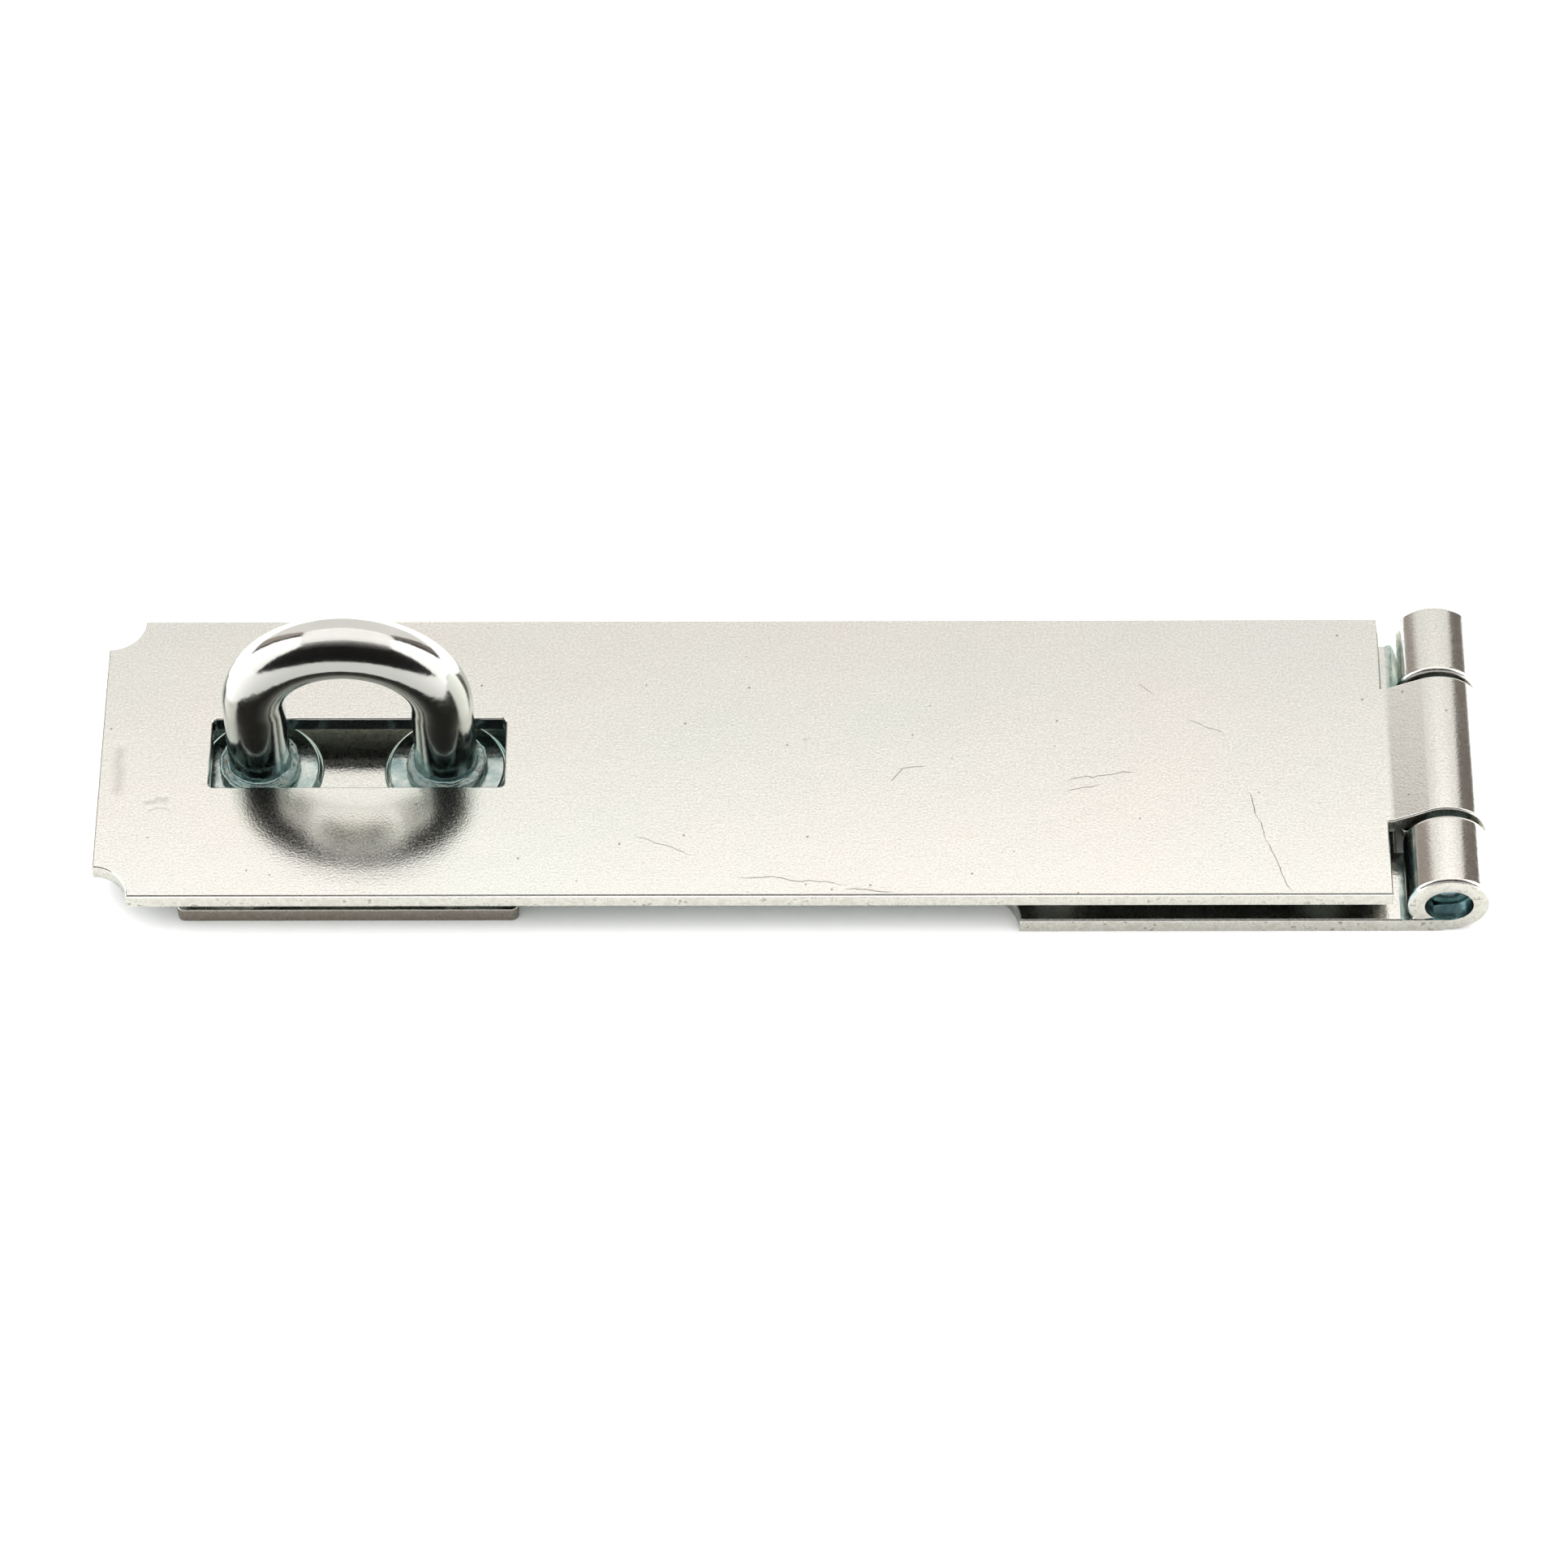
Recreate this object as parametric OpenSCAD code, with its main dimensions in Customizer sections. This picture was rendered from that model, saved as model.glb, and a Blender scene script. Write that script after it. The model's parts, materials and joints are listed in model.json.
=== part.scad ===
// Hinged hasp and staple. A slotted strap hinges on a screwed leaf and closes over a staple,
// whose bow stands up through the slot to take a padlock.
// Origin: on the mounting plane and the strap's centre line, half way along the whole piece.
// +Z points away from the door, +X runs along the strap to the hinge, +Y is across it.

/* [Strap] */
// Thickness of the pressed sheet
sheet_t = 2; // [1.6:0.1:3]
// Length over all, from the strap's free end to the far side of the hinge
overall_l = 155; // [135:1:240]
// Width of the strap and of the hinge
strap_w = 38.4; // [32:0.2:60]
// Radius of the scooped corners at the strap's free end
strap_scoop_r = 4; // [2:0.5:7]
// Gap between the strap's full width and the outer knuckles
shoulder_gap = 1.6; // [1:0.1:3]
// Inside radius of the bend where the neck leaves the flat strap
neck_bend_r = 1.5; // [1:0.1:3]

/* [Slot] */
// Gap between the slot's far end and the bow, as the strap swings past it
swing_gap = 1.4; // [0.6:0.1:4]
// Gap between the slot's near end and the bow
near_gap = 3.2; // [0.6:0.1:6]
// Gap between the slot's front edge and the bow
front_gap = 2.1; // [0.3:0.1:4]
// Gap between the slot's back edge and the bow
back_gap = 0.3; // [0.3:0.1:4]
// Radius of the slot's corners
slot_corner_r = 0.6; // [0.3:0.1:2]

/* [Hinge] */
// Radius of the hinge pin where it turns in the strap's knuckle
pin_r = 2.65; // [2.2:0.05:3.5]
// Radial clearance between the pin and the strap's knuckle
pin_clear = 0.05; // [0.02:0.01:0.1]
// How far the pin's ends are inside the knuckles' ends
pin_recess = 1.8; // [0.5:0.1:2.5]
// Length at each end of the pin that is swelled to grip the leaf
pin_grip_l = 5; // [3:0.5:5.5]
// Chamfer on the pin's ends
pin_chamfer = 0.4; // [0.2:0.1:0.8]
// Side gap between the middle knuckle and each outer one
knuckle_gap = 0.7; // [0.4:0.1:1.2]
// Gap at the seam where each rolled knuckle comes back to its sheet
seam_gap = 0.2; // [0.1:0.1:0.8]
// Gap between the middle knuckle and the leaf's notch
notch_gap = 0.5; // [0.4:0.1:1.5]

/* [Leaf] */
// From the leaf's end to the hinge's axis
leaf_l = 52.2; // [42:0.2:70]
// Radius of the scooped corners at the leaf's end
leaf_scoop_r = 4.8; // [2:0.2:6]
// From the leaf's end to the middle of its first screw holes
leaf_screw_end = 9; // [8:0.5:12]
// From the leaf's notch to the middle of its last screw holes
leaf_screw_hinge = 8; // [6:0.5:12]
// From the leaf's long edges to the middle of its screw holes
leaf_screw_side = 7.7; // [6:0.1:9]

/* [Staple's plate] */
// Distance from the strap's free end to the middle of the staple
staple_end = 28.2; // [27:0.1:40]
// How far the staple's middle is from the strap's centre line
staple_off = 1.4; // [-3:0.1:3]
// Width of the plate across the strap
plate_w = 38; // [30:0.5:50]
// Length of flat plate beyond the bosses, at each end
plate_margin = 1.6; // [1:0.1:6]
// Radius of the plate's corners
plate_corner_r = 0.8; // [0.3:0.1:3]
// Height of the bosses that are pressed up around the legs
boss_h = 1.1; // [0.8:0.1:1.6]
// Ledge on a boss's top around the collar
boss_ledge = 2; // [1:0.1:3]
// How much wider a boss is at its foot than at its top, on the radius
boss_flare = 0.3; // [0.2:0.1:1]
// Wall of a boss, from its side to the recess behind it
boss_wall = 1.2; // [0.8:0.1:1.6]
// From the plate's edges to the middle of its screw holes
plate_screw_edge = 5; // [4.5:0.1:6]

/* [Staple's bow] */
// Diameter of the bow's bar
bar_d = 7; // [5.8:0.1:9]
// Spacing of the bow's legs
leg_gap = 21; // [17:0.5:30]
// Height of the bow's top above the mounting plane
bow_h = 28.8; // [24:0.2:40]
// How far the collars stand out from the bar
collar_ledge = 1.1; // [0.6:0.1:1.6]
// Height of the collars
collar_h = 1.55; // [0.6:0.05:2.5]
// Gap between the collars and the closed strap
collar_gap = 0.35; // [0.3:0.05:1]
// Step from the bar in to the tenon that goes through each boss
tenon_step = 0.8; // [0.4:0.1:1.2]
// How far the heads that are peened over stand out from the tenons
peen_ledge = 1.4; // [0.6:0.1:2]
// Gap between the peened heads and the mounting plane
peen_gap = 0.3; // [0.2:0.1:0.5]

/* [Screw holes] */
// Diameter of the screw holes
screw_d = 4.4; // [3.5:0.1:5]
// Straight wall left under each countersink
sink_land = 0.6; // [0.3:0.1:1.2]

/* [Hidden] */
$fn = 96;

// How far a cut runs past the face it opens
over = 0.5;

// How far neighbouring stretches of bent sheet lap into each other, straight and round an arc
lap = 1;
lap_deg = 6;

// The hinge's axis is level with the middle of the rolled knuckles
bore_r = pin_r + pin_clear;
knuckle_r = bore_r + sheet_t;
hinge_x = overall_l / 2 - knuckle_r;
hinge_z = knuckle_r;

// The knuckles share the width in the ratio 1 : 2 : 1
mid_half = strap_w / 4 - knuckle_gap / 2;
outer_start = strap_w / 4 + knuckle_gap / 2;
outer_l = strap_w / 2 - outer_start;
pin_half = strap_w / 2 - pin_recess;

// The middle knuckle is rolled until its edge is a seam's gap away from its own sheet
seam_deg = acos((bore_r - seam_gap) / knuckle_r);

// The leaf's knuckles are rolled farther, and their edges are pressed flat above the leaf
close_deg = 235;

// The staple's collars and bosses go under the closed strap
boss_z = sheet_t + boss_h;
collar_z = boss_z + collar_h;
collar_r = bar_d / 2 + collar_ledge;
boss_top_r = collar_r + boss_ledge;
boss_foot_r = boss_top_r + boss_flare;
tenon_r = bar_d / 2 - tenon_step;
peen_r = tenon_r + peen_ledge;
plate_l = leg_gap + 2 * (boss_foot_r + plate_margin);
staple_x = -overall_l / 2 + staple_end;
staple_y = staple_off;
bow_z = bow_h - bar_d / 2 - leg_gap / 2;
bow_half = (leg_gap + bar_d) / 2;

// The strap
strap_x = -overall_l / 2;
strap_z = collar_z + collar_gap;
strap_top = strap_z + sheet_t;
shoulder_x = hinge_x - knuckle_r - shoulder_gap;

// The slot's far end keeps clear of the bow's farthest point from the hinge's axis
bow_reach = norm([hinge_x - staple_x, bow_z - hinge_z]) + bow_half;
slot_far = hinge_x - bow_reach - swing_gap;
slot_near = staple_x + bow_half + near_gap;
slot_front = staple_y - bar_d / 2 - front_gap;
slot_back = staple_y + bar_d / 2 + back_gap;

// The neck's middle line: an arc up from the flat, then straight to the knuckle
bend_r = neck_bend_r + sheet_t / 2;
bend_z = strap_top + neck_bend_r;
roll_r = bore_r + sheet_t / 2;
neck_run = norm([hinge_x - shoulder_x, bend_z - hinge_z]);
neck_deg = asin((bend_r + roll_r) / neck_run) - atan2(bend_z - hinge_z, hinge_x - shoulder_x);

// The leaf and its screws
leaf_x = hinge_x - leaf_l;
notch_x = hinge_x - knuckle_r - notch_gap;
leaf_screw_x = [leaf_x + leaf_screw_end, notch_x - leaf_screw_hinge];
leaf_screw_y = [leaf_screw_side - strap_w / 2, strap_w / 2 - leaf_screw_side];

// A point at the given distance and angle in the side view
function polar(r, a) = [r * cos(a), r * sin(a)];

// A rectangle between two corners, with its corners rounded
module rounded_rectangle(low, high, r) {
    translate([low[0] + r, low[1]])
        square([high[0] - low[0] - 2 * r, high[1] - low[1]]);
    translate([low[0], low[1] + r])
        square([high[0] - low[0], high[1] - low[1] - 2 * r]);
    for (x = [low[0] + r, high[0] - r], y = [low[1] + r, high[1] - r])
        translate([x, y])
            circle(r);
}

// A sheet from x0 to x1, as wide as the strap, with its two corners at x0 scooped out
module scooped_sheet(x0, x1, scoop_r) {
    difference() {
        translate([x0, -strap_w / 2])
            square([x1 - x0, strap_w]);
        for (y = [-strap_w / 2, strap_w / 2])
            translate([x0, y])
                circle(scoop_r);
    }
}

// A ring about the side view's origin, from angle a0 round to a1
module ring_arc(inner_r, outer_r, a0, a1) {
    reach = outer_r * 4;
    steps = ceil((a1 - a0) / 60);
    difference() {
        intersection() {
            circle(outer_r);
            polygon([[0, 0], for (i = [0 : steps]) polar(reach, a0 + (a1 - a0) * i / steps)]);
        }
        circle(inner_r);
    }
}

// Stands a side view up and gives it a length along Y, from y0
module along_y(y0, length) {
    translate([0, y0 + length, 0])
        rotate([90, 0, 0])
            linear_extrude(length)
                children();
}

// A cone or, with equal radii, a cylinder that stands at z0
module cone(z0, h, r0, r1) {
    translate([0, 0, z0])
        cylinder(h = h, r1 = r0, r2 = r1);
}

// Holes for countersunk screws at every pair of the given places
module screw_holes(xs, ys) {
    sink_depth = sheet_t - sink_land;
    for (x = xs, y = ys)
        translate([x, y, 0]) {
            cone(-over, sheet_t + 2 * over, screw_d / 2, screw_d / 2);
            cone(sink_land, sink_depth + over, screw_d / 2, screw_d / 2 + sink_depth + over);
        }
}

// A straight stretch of sheet in a side view, with a point that laps into what is at each end
module straight_stretch(start, end, lap_start, lap_end) {
    along = (end - start) / norm(end - start);
    half = [-along[1], along[0]] * sheet_t / 2;
    polygon([start - half, lap_start, start + half, end + half, lap_end, end - half]);
}

// Side view of the strap's neck and knuckle: bend, ramp, and the roll over the pin
module neck_side() {
    bend = [shoulder_x, bend_z];
    axis = [hinge_x, hinge_z];
    flat_end = bend + polar(bend_r, -90);
    flat_start = flat_end - [lap, 0];
    straight_stretch(flat_start, flat_end, flat_start - [lap, 0], bend + polar(bend_r, lap_deg - 90));
    translate(bend)
        ring_arc(neck_bend_r, neck_bend_r + sheet_t, -90, neck_deg - 90);
    straight_stretch(
        bend + polar(bend_r, neck_deg - 90),
        axis + polar(roll_r, neck_deg + 90),
        bend + polar(bend_r, neck_deg - 90 - lap_deg),
        axis + polar(roll_r, neck_deg + 90 - lap_deg)
    );
    translate(axis)
        ring_arc(bore_r, knuckle_r, neck_deg + seam_deg - 270, neck_deg + 90);
}

// Side view of a leaf's knuckle: the sheet runs under the pin and is rolled up over it
module leaf_knuckle_side() {
    axis = [hinge_x, hinge_z];
    flat_start = [notch_x - lap, sheet_t / 2];
    straight_stretch(flat_start, axis + polar(roll_r, -90), flat_start - [lap, 0], axis + polar(roll_r, lap_deg - 90));
    translate(axis)
        difference() {
            ring_arc(bore_r, knuckle_r, -90, close_deg);
            translate([-2 * knuckle_r, -2 * knuckle_r])
                square([2 * knuckle_r, 2 * knuckle_r - bore_r + seam_gap]);
        }
}

// The slotted strap with its rolled middle knuckle
module hasp_strap() {
    color("gainsboro") {
        translate([0, 0, strap_z])
            linear_extrude(sheet_t)
                difference() {
                    scooped_sheet(strap_x, shoulder_x, strap_scoop_r);
                    rounded_rectangle([slot_far, slot_front], [slot_near, slot_back], slot_corner_r);
                }
        along_y(-mid_half, 2 * mid_half)
            neck_side();
    }
}

// The leaf that is screwed down, with its two outer knuckles
module hinge_leaf() {
    color("silver") {
        difference() {
            linear_extrude(sheet_t)
                scooped_sheet(leaf_x, notch_x, leaf_scoop_r);
            screw_holes(leaf_screw_x, leaf_screw_y);
        }
        for (y0 = [-strap_w / 2, outer_start])
            along_y(y0, outer_l)
                leaf_knuckle_side();
    }
}

// The hinge pin, swelled at both ends to grip the leaf's knuckles
module hinge_pin() {
    grip_z = pin_half - pin_grip_l;
    color("lightsteelblue")
        translate([hinge_x, 0, hinge_z])
            rotate([90, 0, 0]) {
                cylinder(h = 2 * grip_z, r = pin_r, center = true);
                for (end = [0, 1])
                    mirror([0, 0, end]) {
                        cone(grip_z, pin_grip_l - pin_chamfer, bore_r, bore_r);
                        cone(pin_half - pin_chamfer, pin_chamfer, bore_r, bore_r - pin_chamfer);
                    }
            }
}

// Places its children at the foot of each of the bow's legs
module at_legs() {
    for (x = [staple_x - leg_gap / 2, staple_x + leg_gap / 2])
        translate([x, staple_y, 0])
            children();
}

// The staple's plate, with a hollow boss around each leg and four screw holes
module staple_plate() {
    half = [plate_l / 2, plate_w / 2];
    middle = [staple_x, staple_y];
    screw_x = half[0] - plate_screw_edge;
    screw_y = half[1] - plate_screw_edge;
    flare_over = boss_flare * over / boss_h;
    color("silver")
        difference() {
            union() {
                linear_extrude(sheet_t)
                    rounded_rectangle(middle - half, middle + half, plate_corner_r);
                at_legs()
                    cone(sheet_t, boss_h, boss_foot_r, boss_top_r);
            }
            at_legs() {
                cone(-over, boss_h + over, boss_foot_r - boss_wall + flare_over, boss_top_r - boss_wall);
                cone(0, boss_z + over, tenon_r, tenon_r);
            }
            screw_holes([staple_x - screw_x, staple_x + screw_x], [staple_y - screw_y, staple_y + screw_y]);
        }
}

// The bow: one bar bent to a half circle, with a collar and a peened tenon on each leg
module staple_bow() {
    color("whitesmoke") {
        translate([staple_x, staple_y, bow_z])
            rotate([90, 0, 0])
                rotate_extrude(angle = 180)
                    translate([leg_gap / 2, 0])
                        circle(d = bar_d);
        at_legs() {
            cone(boss_z, bow_z - boss_z, bar_d / 2, bar_d / 2);
            cone(boss_z, collar_h, collar_r, collar_r);
            cone(peen_gap, boss_z - peen_gap, tenon_r, tenon_r);
            cone(peen_gap, boss_h - peen_gap, tenon_r, peen_r);
        }
    }
}

hasp_strap();
hinge_leaf();
hinge_pin();
staple_plate();
staple_bow();
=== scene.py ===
"""Zinc plated hasp and staple: the looks of its strap, hinge leaf, pin, staple plate and bow.

Every size is in metres. +X runs along the strap to the hinge, +Z points away from the door.
"""
import json
import math

import bmesh
import bpy
from bpy.props import FloatProperty, FloatVectorProperty, IntProperty, PointerProperty
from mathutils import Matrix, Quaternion, Vector

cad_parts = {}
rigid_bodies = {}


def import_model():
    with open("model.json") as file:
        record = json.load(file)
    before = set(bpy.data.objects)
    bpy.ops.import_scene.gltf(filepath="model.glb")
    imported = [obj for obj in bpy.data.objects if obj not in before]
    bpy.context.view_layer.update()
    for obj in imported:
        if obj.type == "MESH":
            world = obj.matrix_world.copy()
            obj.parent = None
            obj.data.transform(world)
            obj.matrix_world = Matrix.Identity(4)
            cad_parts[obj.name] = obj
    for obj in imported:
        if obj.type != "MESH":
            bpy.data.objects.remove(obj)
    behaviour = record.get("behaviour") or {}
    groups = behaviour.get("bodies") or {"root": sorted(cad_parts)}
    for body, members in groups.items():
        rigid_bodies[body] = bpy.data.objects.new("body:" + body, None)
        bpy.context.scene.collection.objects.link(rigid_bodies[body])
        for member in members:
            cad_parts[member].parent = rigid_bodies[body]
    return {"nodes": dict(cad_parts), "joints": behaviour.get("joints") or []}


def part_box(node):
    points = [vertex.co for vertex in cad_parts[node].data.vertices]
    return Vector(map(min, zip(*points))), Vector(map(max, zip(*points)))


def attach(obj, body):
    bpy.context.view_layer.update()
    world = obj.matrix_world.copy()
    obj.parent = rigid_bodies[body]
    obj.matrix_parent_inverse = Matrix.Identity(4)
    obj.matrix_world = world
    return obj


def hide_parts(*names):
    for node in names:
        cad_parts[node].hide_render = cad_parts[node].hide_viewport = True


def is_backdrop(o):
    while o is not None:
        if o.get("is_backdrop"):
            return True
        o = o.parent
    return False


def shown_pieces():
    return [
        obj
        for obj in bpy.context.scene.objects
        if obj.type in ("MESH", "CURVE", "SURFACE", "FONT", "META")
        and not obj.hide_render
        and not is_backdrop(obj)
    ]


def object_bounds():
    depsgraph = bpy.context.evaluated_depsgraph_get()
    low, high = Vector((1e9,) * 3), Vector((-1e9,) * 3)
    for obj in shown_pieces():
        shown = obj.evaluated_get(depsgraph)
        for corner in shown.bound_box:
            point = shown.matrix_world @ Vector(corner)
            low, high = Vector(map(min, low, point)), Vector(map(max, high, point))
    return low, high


bl_info = {
    "name": "Hasp and Staple",
    "version": (1, 0, 0),
    "blender": (4, 5, 0),
    "location": "View3D > Sidebar > Hasp",
    "description": "Models a zinc plated hasp and staple on its packed frame",
    "category": "Add Mesh",
}

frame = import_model()
cad_low, cad_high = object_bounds()
strap_low, strap_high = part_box("hasp_strap")
leaf_low, leaf_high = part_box("hinge_leaf")
pin_low, pin_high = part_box("hinge_pin")
plate_low, plate_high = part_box("staple_plate")
bow_low, bow_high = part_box("staple_bow")

MM = 0.001
UP = Vector((0, 0, 1))
# How far a cutting tool runs past the face it opens
OVER = 0.5 * MM
# How near a point must be to a place to count as being there
NEAR = 0.02 * MM
# A normal with more than the first share along an axis faces that way, with less than the second it
# stands across it
FACING = 0.9
BESIDE = 0.35
# A sheet's materials in their order: its flats, its cut edges and the parts with a dark film, whose
# dark colour also stands as painted shade in recesses, under the strap and beside the knuckles
FLAT, CUT, FILM_AND_SHADE = range(3)
# Scratches on the strap in mm from its free end and middle line: both ends' x and y, half width and
# wobble. The last three are smudges and have a strength too.
STRAP_MARKS = (
    (128.3, -4.7, 130.4, -12.0, 0.05, 0.25),
    (130.3, -11.5, 132.8, -18.9, 0.07, 0.2),
    (71.3, -16.5, 84.0, -17.6, 0.07, 0.35),
    (83.5, -18.2, 89.0, -18.9, 0.06, 0.2),
    (88.6, -3.6, 90.1, -1.7, 0.10, 0.1),
    (89.4, -1.9, 92.6, -1.4, 0.09, 0.15),
    (60.0, -11.0, 66.5, -13.6, 0.04, 0.2),
    (107.8, -3.4, 116.6, -2.7, 0.05, 0.5),
    (108.0, -5.0, 112.2, -4.0, 0.05, 0.2),
    (116.5, 10.2, 118.4, 8.4, 0.07, 0.1),
    (121.8, 5.2, 126.5, 2.7, 0.04, 0.3),
    (5.3, -5.5, 8.1, -6.2, 0.6, 0.9, 0.3),
    (5.6, -7.4, 8.4, -7.0, 0.4, 1.2, 0.2),
    (2.1, 2.0, 2.3, -5.6, 1.0, 0.2, 0.3),
)


# ---------------------------------------------------------------- sizes and colours


def length(name, description, default):
    return FloatProperty(name=name, description=description, default=default, unit="LENGTH")


def angle(name, description, degrees):
    return FloatProperty(
        name=name, description=description, default=math.radians(degrees), subtype="ANGLE"
    )


def number(name, description, default):
    return FloatProperty(name=name, description=description, default=default)


def colour(name, description, default):
    limits = {"size": 3, "min": 0.0, "max": 1.0}
    return FloatVectorProperty(
        name=name, description=description, default=default, subtype="COLOR", **limits
    )


class SheetSizes(bpy.types.PropertyGroup):
    thickness: length("Sheet thickness", "Thickness of the pressed sheet", 2.0 * MM)
    top_round: length("Rolled edge", "Radius of the edges the punch rolled over", 0.42 * MM)
    small_round: length("Broken edge", "Radius of the other edges", 0.09 * MM)
    edge_steps: IntProperty(name="Edge steps", description="Faces round a rolled edge", default=4)
    arc_step: angle("Arc step", "Turn between the faces of a bend", 4)


class StrapSizes(bpy.types.PropertyGroup):
    scoop: length("Corner scoops", "Radius of the scooped corners at the free end", 4.0 * MM)
    underside: length("Underside", "Height of the flat strap's underside above the door", 5.0 * MM)
    shoulder_gap: length("Shoulder gap", "Gap from the full width to the outer knuckles", 1.6 * MM)
    neck_bend: length("Neck bend", "Inside radius of the bend up into the neck", 1.5 * MM)
    swing_gap: length("Far slot gap", "Slot's clearance to the bow on the far side", 1.8 * MM)
    near_gap: length("Near slot gap", "Slot's clearance to the bow on the hinge side", 3.2 * MM)
    front_gap: length("Front slot gap", "Slot's clearance in front of the bow", 2.1 * MM)
    back_gap: length("Back slot gap", "Slot's clearance behind the bow", 0.3 * MM)
    slot_corner: length("Slot corners", "Radius of the slot's corners", 0.5 * MM)


class HingeSizes(bpy.types.PropertyGroup):
    knuckle_gap: length("Knuckle gap", "Side gap from the middle knuckle to an outer one", 0.7 * MM)
    seam_gap: length("Seam gap", "Gap where a rolled knuckle comes back to its sheet", 0.2 * MM)
    end_round: length("Knuckle ends", "Radius round the outside of the knuckles' ends", 0.6 * MM)
    closing: angle("Closing", "How far round the leaf's knuckles end", 235)
    notch_gap: length("Notch gap", "Gap between the middle knuckle and the leaf's notch", 0.5 * MM)
    leaf_scoop: length("Leaf scoops", "Radius of the scooped corners at the leaf's end", 4.8 * MM)
    pin_dome: length("Pin dome", "How far the pin's ends are domed", 0.5 * MM)


class StapleSizes(bpy.types.PropertyGroup):
    bar: length("Bar", "Diameter of the bow's bar", 7.0 * MM)
    leg_gap: length("Leg spacing", "Spacing of the bow's legs", 21.0 * MM)
    collar: length("Collar", "Radius of the collar round each leg", 4.6 * MM)
    collar_top: length("Collar top", "Height of the collar's top above the door", 4.62 * MM)
    boss_top: length("Boss top", "Height of the pressed bosses above the door", 3.1 * MM)
    boss_foot: length("Boss foot", "Radius of a boss at its foot", 6.9 * MM)
    boss_crown: length("Boss crown", "Radius of a boss at its top", 6.6 * MM)
    boss_wall: length("Boss wall", "Wall of a boss round the recess behind it", 1.2 * MM)
    tenon: length("Tenon", "Radius of the tenon through each boss", 2.7 * MM)
    peen: length("Peened head", "Radius of the head behind each boss", 4.0 * MM)
    peen_foot: length("Head height", "Gap between the peened heads and the door", 0.32 * MM)
    corner: length("Plate corners", "Radius of the plate's corners", 0.8 * MM)


class ScrewSizes(bpy.types.PropertyGroup):
    hole: length("Hole", "Radius of the screw holes", 2.2 * MM)
    land: length("Land", "Straight wall under each countersink", 0.6 * MM)
    leaf_end: length("Leaf end", "From the leaf's end to its first holes", 9.0 * MM)
    leaf_hinge: length("Leaf hinge", "From the leaf's notch to its last holes", 8.0 * MM)
    leaf_side: length("Leaf side", "From the leaf's long edges to its holes", 7.7 * MM)
    plate_edge: length("Plate edge", "From the staple plate's edges to its holes", 5.0 * MM)


class FinishColours(bpy.types.PropertyGroup):
    plating: colour("Plating", "Zinc on the pressed sheet", (0.79, 0.775, 0.745))
    warm: colour("Warm plating", "Faint pink tint in patches of the plating", (0.82, 0.78, 0.74))
    cool: colour("Cool plating", "Faint green tint in patches of the plating", (0.76, 0.785, 0.74))
    bright: colour("Bright plating", "Zinc on the smooth bar", (0.71, 0.705, 0.68))
    grazing: colour("Grazing tint", "Tint of the plating at a shallow angle", (0.86, 0.93, 0.91))
    # Teal is the blue green film, made darker than the film alone as painted shade for the recesses
    # it colours.
    teal: colour("Passivated zinc", "Blue green film in the recesses", (0.27, 0.385, 0.385))
    pin: colour("Pin steel", "Steel of the hinge pin", (0.36, 0.53, 0.60))
    # Painted shade: the dark colour the bow's front is mixed to, standing in for the dark room its
    # front reflects.
    painted_front_shade: colour("Drawn front", "Duller zinc along the front of the bow", (0.24, 0.245, 0.225))
    # Recess is painted shade: a near black laid on the slot's walls and on the strap's underside
    # round the slot, not a real film.
    recess: colour("Recess", "Dark film on the slot's walls and round the slot", (0.07, 0.10, 0.11))
    # Sheared is partly the real dull zinc of the cut edges and partly painted shade, being darker
    # than that zinc would be under these lamps.
    sheared: colour("Sheared steel", "Dull zinc on the sheet's cut edges", (0.42, 0.405, 0.36))
    # Grime is real grease in scratches and pits, and the same colour is also laid as painted shade
    # on the staple plate's edges.
    grime_and_shade: colour("Grime", "Dark grease in scratches and pits", (0.16, 0.13, 0.10))
    floor: colour("Floor", "Paint of the floor", (0.90, 0.90, 0.90))


class StudioSettings(bpy.types.PropertyGroup):
    lens: number("Lens", "Focal length in millimetres", 152.9)
    distance: length("Distance", "From the camera to the hasp", 0.7463)
    elevation: angle("Elevation", "Camera's angle above the floor", 53.776)
    azimuth: angle("Azimuth", "Camera's turn round the hasp", 1.062)
    roll: angle("Roll", "Camera's turn about its own axis", -0.965)
    ceiling: number("Ceiling light", "Brightness of the ceiling panel", 1.25)
    sides: number("Side lights", "Brightness of the side panels", 1.7)
    back: number("Back light", "Brightness of the back panel", 0.9)
    front: number("Front light", "Brightness of the front panel", 0.5)
    wings: number("Wing light", "Brightness of the back panel's wings", 0.3)
    floor: number("Floor light", "Brightness of the light on the floor", 2.7)


# ---------------------------------------------------------------- modelling helpers


def deselect_all():
    for obj in bpy.context.view_layer.objects:
        obj.select_set(False)


def make_active(obj):
    deselect_all()
    obj.select_set(True)
    bpy.context.view_layer.objects.active = obj


def apply_place(obj):
    """Puts an object's place, turn and scale into its mesh."""
    make_active(obj)
    bpy.ops.object.transform_apply(location=True, rotation=True, scale=True)


def add_block(name, low, high):
    """A block between two corners, to be cut and shaped further."""
    deselect_all()
    low = Vector(low)
    high = Vector(high)
    bpy.ops.mesh.primitive_cube_add(size=1, location=(low + high) / 2, scale=high - low)
    obj = bpy.context.object
    obj.name = name
    obj.data.name = name
    apply_place(obj)
    return obj


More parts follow.
